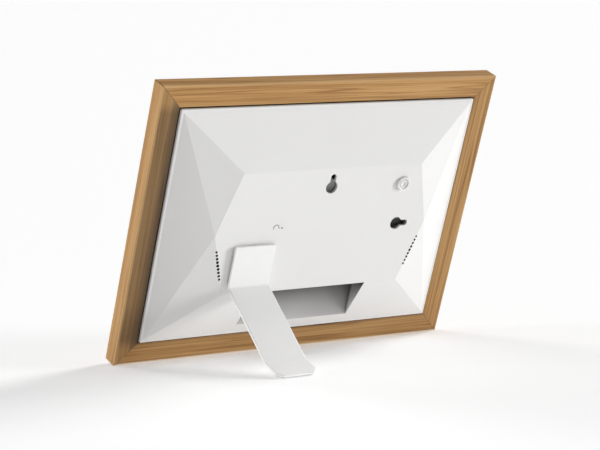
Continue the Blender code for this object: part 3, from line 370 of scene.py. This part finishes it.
def cover():
    """The cover's white plastic, with painted shade where it is sunk: the port recess and the holes.
    Its edges are painted lighter, with a painted highlight.
    """
    s = moulded("cover_plastic", WHITE, 0.46, rounding=0.0006, polish_and_highlight=0.9)
    x, depth, z = s.parts(s.own_coordinates())
    # The facet below the plateau, as a straight line of depth over height.
    top, foot = MIDDLE - PLATEAU_HALF_HEIGHT, COVER_LOW.z + COVER_RIM
    facet = s.spread(z, foot, top, COVER_HIGH.y - COVER_RISE, COVER_HIGH.y)
    sunk = s.spread(s.math("SUBTRACT", facet, depth), 0.0001, 0.0004)
    slack = 0.0002      # takes in the recess's walls and ceiling
    beside = s.math("LESS_THAN", s.math("ABSOLUTE", x), RECESS_HALF_WIDTH + slack)
    below = s.math("LESS_THAN", z, top + slack)
    inside = s.math("MULTIPLY", s.math("MULTIPLY", sunk, beside), below)
    # The recess gets a painted shade, darkest under its ceiling and towards the wall away from the
    # stand. That wall itself gets painted light, which makes it pale.
    recess_painted_shade = s.scaled(RECESS_PAINTED_SHADE, s.spread(z, foot + 0.004, top, 1.10, 0.065))
    recess_painted_shade = s.scaled(recess_painted_shade, s.spread(x, -RECESS_HALF_WIDTH, 0.0, 0.70, 0.98))
    wall = s.spread(x, 0.0003 - RECESS_HALF_WIDTH, 0.0001 - RECESS_HALF_WIDTH, 1.0, 5.5)
    recess_painted_shade = s.scaled(recess_painted_shade, wall)
    # Painted shade in hollows and holes, the darker the more closed in a point is.
    wide_hollow, narrow_hole = s.openness(0.022), s.openness(0.003)
    shade = s.math("MULTIPLY", s.spread(wide_hollow, 0.45, 0.98, 0.35, 1.0),
                   s.spread(narrow_hole, 0.35, 0.75, 0.10, 1.0))
    white = s.principled.inputs["Base Color"].links[0].from_socket
    s.set(Base_Color=s.scaled(s.mix(inside, white, recess_painted_shade), shade))
    return s


dress(["rear_cover"], cover())
# The stand's edges are painted lighter: a painted highlight.
dress(["stand_arm"], moulded("stand_coating", (0.98, 0.977, 0.972), 0.50, rounding=0.0008, polish_and_highlight=0.5))
dress(["diffuser_sheet"], moulded("diffuser_film", (0.86, 0.86, 0.86), 0.7))
BLACK_PARTS = ["mid_frame", "flex_connector", "dc_jack", "speaker_left", "speaker_right",
               "button_switch", "processor_chip", "memory_chip", "flash_chip", "antenna_lead"]
dress(BLACK_PARTS, moulded("black_plastic", (0.018, 0.018, 0.019), 0.48, polish_and_highlight=0.3, rounding=0.0002))
GREY_PARTS = ["friction_washer", "switch_plunger", "speaker_lead_left", "speaker_lead_right"]
dress(GREY_PARTS, moulded("grey_plastic", (0.20, 0.20, 0.21), 0.55, rounding=0.0002))
dress(["stand_sole"], moulded("sole_rubber", (0.62, 0.62, 0.61), 0.82, grain=1500.0, depth=0.00006))
dress(["cover_gasket"],
      moulded("gasket_foam", (0.055, 0.042, 0.030), 0.92, grain=1800.0, depth=0.0002))
STEEL_PARTS = ["lcd_tray", "wifi_module", "usb_port", "sd_card_slot", "pivot_stud", "pivot_screw",
               "pivot_cap", "wave_spring", "detent_plate"]
SCREWS = {"tray": 4, "board": 4, "button_board": 2}
STEEL_PARTS += [f"{place}_screw_{index}" for place, count in SCREWS.items()
                for index in range(1, count + 1)]
dress(STEEL_PARTS, metal("zinc_steel", (0.58, 0.58, 0.57), 0.36, along=(0.2, 1.0, 1.0)))
dress(["keyhole_bracket_side"], moulded("painted_tray", (0.24, 0.24, 0.24), 0.6, rounding=0.0002))
dress(["keyhole_bracket_top"], tray_with_painted_light())
BRASS_PARTS = [f"board_standoff_{index}" for index in range(1, 5)]
dress(BRASS_PARTS, metal("turned_brass", (0.78, 0.56, 0.24), 0.30))
dress(["heat_spreader"], metal("bare_aluminium", (0.78, 0.78, 0.79), 0.38, along=(1.0, 1.0, 0.1)))


def soften_stand():
    """Rounds the stand plate's cut edges and folds in its mesh."""
    bevel = frame["nodes"]["stand_arm"].modifiers.new("rounding", "BEVEL")
    bevel.width, bevel.segments = 0.0006, 3
    bevel.limit_method, bevel.angle_limit = "ANGLE", math.radians(25.0)


soften_stand()


def circuit_board():
    """Green solder mask over a net of tracks."""
    s = Shader("circuit_board")
    place = s.own_coordinates()
    cells = s.node("TexBrick")
    s.feed(cells.inputs["Vector"], s.mapped(place, turn=(QUARTER, 0.0, 0.0), scale=(160.0,) * 3))
    cells.inputs["Mortar Size"].default_value = 0.05
    tracks = s.spread(cells.outputs["Fac"], 0.0, 1.0)
    mottle = s.noise(place, scale=300.0, detail=2.0)
    colour = s.mix(s.math("MULTIPLY", tracks, 0.6), (0.008, 0.085, 0.035), (0.02, 0.17, 0.07))
    s.set(Base_Color=colour, Roughness=s.spread(mottle, 0.3, 0.7, 0.28, 0.42),
          Normal=s.bump(tracks, 0.00003, 0.6))
    return s


dress(["main_board", "button_board", "led_strip", "wifi_antenna"], circuit_board())


def ribbon():
    """Amber film with the darker lines of its tracks."""
    s = Shader("polyimide_ribbon")
    place = s.own_coordinates(scale=(1100.0, 1.0, 1.0))
    lines = s.node("TexWave", bands_direction="X")
    s.feed(lines.inputs["Vector"], place)
    lines.inputs["Scale"].default_value = 1.0
    colour = s.mix(lines.outputs["Fac"], (0.30, 0.13, 0.025), (0.52, 0.26, 0.06))
    s.set(Base_Color=colour, Roughness=s.spread(lines.outputs["Fac"], 0.0, 1.0, 0.30, 0.42))
    return s


dress(["lcd_flex"], ribbon())


def glass():
    """Clear float glass: a faint, cool mirror over what is behind it, with a haze of fingerprints."""
    s = Shader("float_glass")
    haze = s.noise(s.own_coordinates(), scale=35.0, detail=5.0, roughness=0.6)
    s.set(Base_Color=s.ramp(haze, (0.3, (0.90, 0.96, 0.94)), (0.7, (0.94, 0.98, 0.97))), Metallic=1.0,
          Alpha=0.05, Roughness=s.spread(haze, 0.45, 0.75, 0.02, 0.09))
    return s


def acrylic():
    """The light guide's clear acrylic, frosted by its dot pattern."""
    s = Shader("guide_acrylic")
    frost = s.noise(s.own_coordinates(), scale=900.0, detail=2.0)
    s.set(Base_Color=s.ramp(frost, (0.4, (0.90, 0.93, 0.95)), (0.6, (0.96, 0.97, 0.98))),
          Roughness=s.spread(frost, 0.3, 0.7, 0.10, 0.30), Transmission_Weight=0.6, IOR=1.49)
    return s


dress(["front_glass"], glass())
dress(["light_guide"], acrylic())


def screen():
    """A display switched off: nearly black, with its active area a shade darker than its border."""
    s = Shader("dark_screen")
    low, high = own_box("lcd_panel")
    place = s.own_coordinates()
    x, _, z = s.parts(place)
    border = 0.0045
    inside_x = s.math("LESS_THAN", s.math("ABSOLUTE", x), high.x - border)
    middle, half = (low.z + high.z) / 2, (high.z - low.z) / 2
    inside_z = s.math("LESS_THAN", s.math("ABSOLUTE", s.math("SUBTRACT", z, middle)), half - border)
    active = s.math("MULTIPLY", inside_x, inside_z)
    mottle = s.noise(place, scale=60.0, detail=4.0)
    colour = s.mix(active, (0.016, 0.016, 0.018), (0.006, 0.006, 0.0085))
    s.set(Base_Color=colour, Roughness=s.spread(mottle, 0.3, 0.7, 0.16, 0.22), IOR=1.5)
    return s


dress(["lcd_panel"], screen())


def card():
    """Uncoated mat board: paper fibres and a soft felt grain."""
    s = Shader("mat_card")
    place = s.own_coordinates()
    fibres = s.noise(s.mapped(place, scale=(1.0, 1.0, 1.6)), scale=1100.0, detail=4.0, roughness=0.65)
    cloud = s.noise(place, scale=70.0, detail=3.0)
    mean = s.math("MULTIPLY", s.math("ADD", fibres, cloud), 0.5)
    colour = s.ramp(mean, (0.3, (0.80, 0.785, 0.745)), (0.7, (0.87, 0.86, 0.825)))
    s.set(Base_Color=colour, Roughness=s.spread(fibres, 0.3, 0.7, 0.82, 0.95),
          Normal=s.bump(fibres, 0.00006, 0.6))
    return s


dress(["mat_board"], card())


# ---------------------------------------------------------------- finer pieces
BUTTON_LOW, BUTTON_HIGH = own_box("power_button")
BUTTON_MIDDLE = (BUTTON_LOW + BUTTON_HIGH) / 2
BUTTON_FLANGE = 0.0011      # wider than the button, and behind the cover's wall
BUTTON_RADIUS = (BUTTON_HIGH.x - BUTTON_LOW.x) / 2 - BUTTON_FLANGE


def finished(name, shape, body, shader):
    """Turns a bmesh in own axes into a smooth named piece that rides on a body."""
    bmesh.ops.transform(shape, matrix=TO_ROW, verts=shape.verts)
    bmesh.ops.recalc_face_normals(shape, faces=shape.faces)
    for face in shape.faces:
        face.smooth = True
    mesh = bpy.data.meshes.new(name)
    shape.to_mesh(mesh)
    shape.free()
    item = bpy.data.objects.new(name, mesh)
    bpy.context.scene.collection.objects.link(item)
    mesh.materials.append(shader.material)
    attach(item, body)
    return item


def turned(x, z, profile, steps=64):
    """A closed turned shape around a line along Y, from (radius, depth) points between two poles."""
    shape = bmesh.new()
    first = shape.verts.new((x, profile[0][1], z))
    last = shape.verts.new((x, profile[-1][1], z))
    rows = []
    for radius, depth in profile[1:-1]:
        turns = [2.0 * math.pi * step / steps for step in range(steps)]
        ring = [(radius * math.cos(turn), radius * math.sin(turn)) for turn in turns]
        rows.append([shape.verts.new((x + across, depth, z + up)) for across, up in ring])
    for step in range(steps):
        after = (step + 1) % steps
        shape.faces.new((first, rows[0][step], rows[0][after]))
        shape.faces.new((last, rows[-1][after], rows[-1][step]))
        for row, above in zip(rows, rows[1:]):
            shape.faces.new((row[step], above[step], above[after], row[after]))
    return shape


def button():
    """The push button: a rounded rim, a shallow dish and a raised ring in the middle of it."""
    top, radius, back = BUTTON_HIGH.y, BUTTON_RADIUS, BUTTON_LOW.y
    flange, flange_back, flange_front = radius + BUTTON_FLANGE - 0.0001, back + 0.0009, back + 0.0017
    stem, rim, rim_steps = 0.0019, 0.0006, 4
    dish = top - 0.0009
    foot, ring = dish + 0.0001, dish + 0.0005   # the depths of the ring's foot and of its top
    ring_edge = ring - 0.00005
    profile = [(0.0, back), (stem, back), (stem, flange_back), (flange, flange_back),
               (flange, flange_front), (radius, flange_front)]
    for step in range(rim_steps + 1):
        turn = QUARTER * step / rim_steps
        profile.append((radius - rim + rim * math.cos(turn), top - rim + rim * math.sin(turn)))
    profile += [(radius - 0.0012, top - 0.00005), (radius - 0.0015, foot), (radius - 0.0017, dish),
                (0.00285, dish), (0.00280, foot), (0.00268, ring_edge), (0.00255, ring),
                (0.00190, ring), (0.00178, ring_edge), (0.00166, foot), (0.00160, dish), (0.0, dish)]
    shape = turned(BUTTON_MIDDLE.x, BUTTON_MIDDLE.z, profile)
    piece = finished("button_cap", shape, "power_button", moulded("button_plastic", WHITE, 0.40))
    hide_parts("power_button")


button()


def keyhole_cup():
    """A shallow pressed cup under the top keyhole's round end, where the screw's head comes in."""
    low, high = own_box("keyhole_bracket_top")
    half = (high.x - low.x) / 2
    wall, radius, corner = 0.0003, 0.0052, 0.0006
    base, rim = high.y - 0.0031, high.y - 0.0013
    inner_corner = corner + 0.0002
    profile = [(0.0, base), (radius - corner, base), (radius, base + corner), (radius, rim),
               (radius - wall, rim), (radius - wall, base + inner_corner),
               (radius - inner_corner, base + wall), (0.0, base + wall)]
    shape = turned((low.x + high.x) / 2, low.z + half, profile, steps=40)
    piece = finished("keyhole_cup", shape, "frame",
                     moulded("pressed_cup", (0.44, 0.44, 0.435), 0.5, rounding=0.0002))


keyhole_cup()


INK_GREY = (0.54, 0.54, 0.545)


def printed_mark():
    """A plain printed arc with a dot beside it, near the top of the stand."""
    x, z, depth = 0.0380, MIDDLE + 0.0032, COVER_HIGH.y
    thick, stroke, radius = 0.00006, 0.0007, 0.0026
    start, sweep, steps = -25.0, 230.0, 20      # the arc, in degrees
    section = ((radius, 0.0), (radius, thick), (radius - stroke, thick), (radius - stroke, 0.0))
    sides = len(section)
    arc = bmesh.new()
    rows = []
    for step in range(steps + 1):
        turn = math.radians(start + sweep * step / steps)
        across, up = math.cos(turn), math.sin(turn)
        rows.append([arc.verts.new((x + 0.0018 + across * reach, depth + proud, z + up * reach))
                     for reach, proud in section])
    for row, after in zip(rows, rows[1:]):
        for side in range(sides):
            beside = (side + 1) % sides
            arc.faces.new((row[side], row[beside], after[beside], after[side]))
    arc.faces.new(rows[0])
    arc.faces.new(rows[-1])
    profile = [(0.0, depth), (0.0008, depth), (0.0007, depth + 0.7 * thick),
               (0.0005, depth + thick), (0.0, depth + thick)]
    dot = turned(x - 0.0030, z - 0.0004, profile, steps=24)
    marks = (("plain_mark_arc", arc, "mark_ink"), ("plain_mark_dot", dot, "mark_ink_dot"))
    for name, shape, ink in marks:
        piece = finished(name, shape, "frame", moulded(ink, INK_GREY, 0.6, depth=0.000004))


printed_mark()


# ---------------------------------------------------------------- floor, light and camera
FLOOR_REACH = 30.0
FLOOR_WHITE = (0.86, 0.86, 0.862, 1.0)
FLOOR_GLOW = 0.26           # a little light of its own, as a lit studio table has


def floor():
    """A plain white floor, far larger than the view."""
    shape = bmesh.new()
    corners = [shape.verts.new((x * FLOOR_REACH, y * FLOOR_REACH, 0.0))
               for x, y in ((-1, -1), (1, -1), (1, 1), (-1, 1))]
    shape.faces.new(corners)
    mesh = bpy.data.meshes.new("floor")
    shape.to_mesh(mesh)
    shape.free()
    item = bpy.data.objects.new("floor", mesh)
    bpy.context.scene.collection.objects.link(item)
    s = Shader("white_floor")
    s.set(Base_Color=FLOOR_WHITE, Roughness=0.9, Emission_Color=(1.0, 1.0, 1.0, 1.0),
          Emission_Strength=FLOOR_GLOW)
    mesh.materials.append(s.material)


TO_CAMERA = Vector((0.554, 0.833, 0.0))     # level
TO_RIGHT = Vector((-0.833, 0.554, 0.0))     # to the right of the picture
UP = Vector((0.0, 0.0, 1.0))
# Broad soft panels of light: the way to each, and its brightness.
PANELS = [(UP, 0.66), (-TO_RIGHT, 0.60)]
PANEL_POWER = 3.0           # a higher power makes them narrower
# Lamps: degrees from the picture's right towards the camera, degrees up, brightness, degrees wide.
LAMPS = {"side": (-1.0, 8.0, 0.64, 18.0), "behind": (-42.0, 25.0, 0.62, 24.0),
         "rim": (215.0, 20.0, 0.30, 24.0), "low": (168.0, 6.0, 0.50, 24.0)}


def studio():
    """Two broad panels in the world's background, and the lamps."""
    world = bpy.data.worlds.new("studio")
    bpy.context.scene.world = world
    world.use_nodes = True
    tree = world.node_tree

    def combine(kind, operation, first, second):
        made = tree.nodes.new("ShaderNode" + kind)
        made.operation = operation
        for socket, value in zip(made.inputs, (first, second)):
            if isinstance(value, bpy.types.NodeSocket):
                tree.links.new(value, socket)
            else:
                socket.default_value = value
        return made.outputs["Value"]

    direction = tree.nodes.new("ShaderNodeTexCoord").outputs["Generated"]
    total = 0.0
    for way, brightness in PANELS:
        facing = combine("VectorMath", "DOT_PRODUCT", direction, way.normalized())
        spot = combine("Math", "POWER", combine("Math", "MAXIMUM", facing, 0.0), PANEL_POWER)
        total = combine("Math", "ADD", combine("Math", "MULTIPLY", spot, brightness), total)
    background = tree.nodes["Background"].inputs
    background["Color"].default_value = (1.0, 1.0, 1.0, 1.0)
    # The far backdrop is plain white where it is seen.
    seen = tree.nodes.new("ShaderNodeMix")
    tree.links.new(tree.nodes.new("ShaderNodeLightPath").outputs["Is Camera Ray"], seen.inputs[0])
    tree.links.new(total, seen.inputs[2])
    seen.inputs[3].default_value = 1.0
    tree.links.new(seen.outputs[0], background["Strength"])

    for name, (turn, rise, brightness, width) in LAMPS.items():
        turn, rise = math.radians(turn), math.radians(rise)
        level = TO_RIGHT * math.cos(turn) + TO_CAMERA * math.sin(turn)
        way = level * math.cos(rise) + UP * math.sin(rise)
        lamp = bpy.data.lights.new(name, "SUN")
        lamp.energy = math.pi * brightness
        lamp.angle = math.radians(width)
        item = bpy.data.objects.new(name, lamp)
        item.rotation_euler = way.to_track_quat("Z", "Y").to_euler()
        # The low lamp grazes the front faces, and its gloss would whiten them.
        item.visible_glossy = name != "low"
        bpy.context.scene.collection.objects.link(item)


CAMERA_PLACE = (0.8497, 1.2536, 0.2642)
CAMERA_TURN, CAMERA_RISE = math.radians(146.37), math.radians(6.40)     # from -Y towards +X, and up
CAMERA_LENS = 129.2         # mm, on a sensor 36 mm wide


def camera():
    """The camera, where the photographed frame's edges and corners put it."""
    data = bpy.data.cameras.new("camera")
    data.sensor_width = 36.0
    data.lens = CAMERA_LENS
    data.clip_start, data.clip_end = 0.01, 200.0
    item = bpy.data.objects.new("camera", data)
    back = Vector((math.sin(CAMERA_TURN) * math.cos(CAMERA_RISE),
                   -math.cos(CAMERA_TURN) * math.cos(CAMERA_RISE), math.sin(CAMERA_RISE)))
    item.location = CAMERA_PLACE
    item.rotation_euler = (-back).to_track_quat("-Z", "Y").to_euler()
    bpy.context.scene.collection.objects.link(item)
    bpy.context.scene.camera = item


floor()
studio()
camera()
bpy.context.scene.view_settings.view_transform = "Standard"
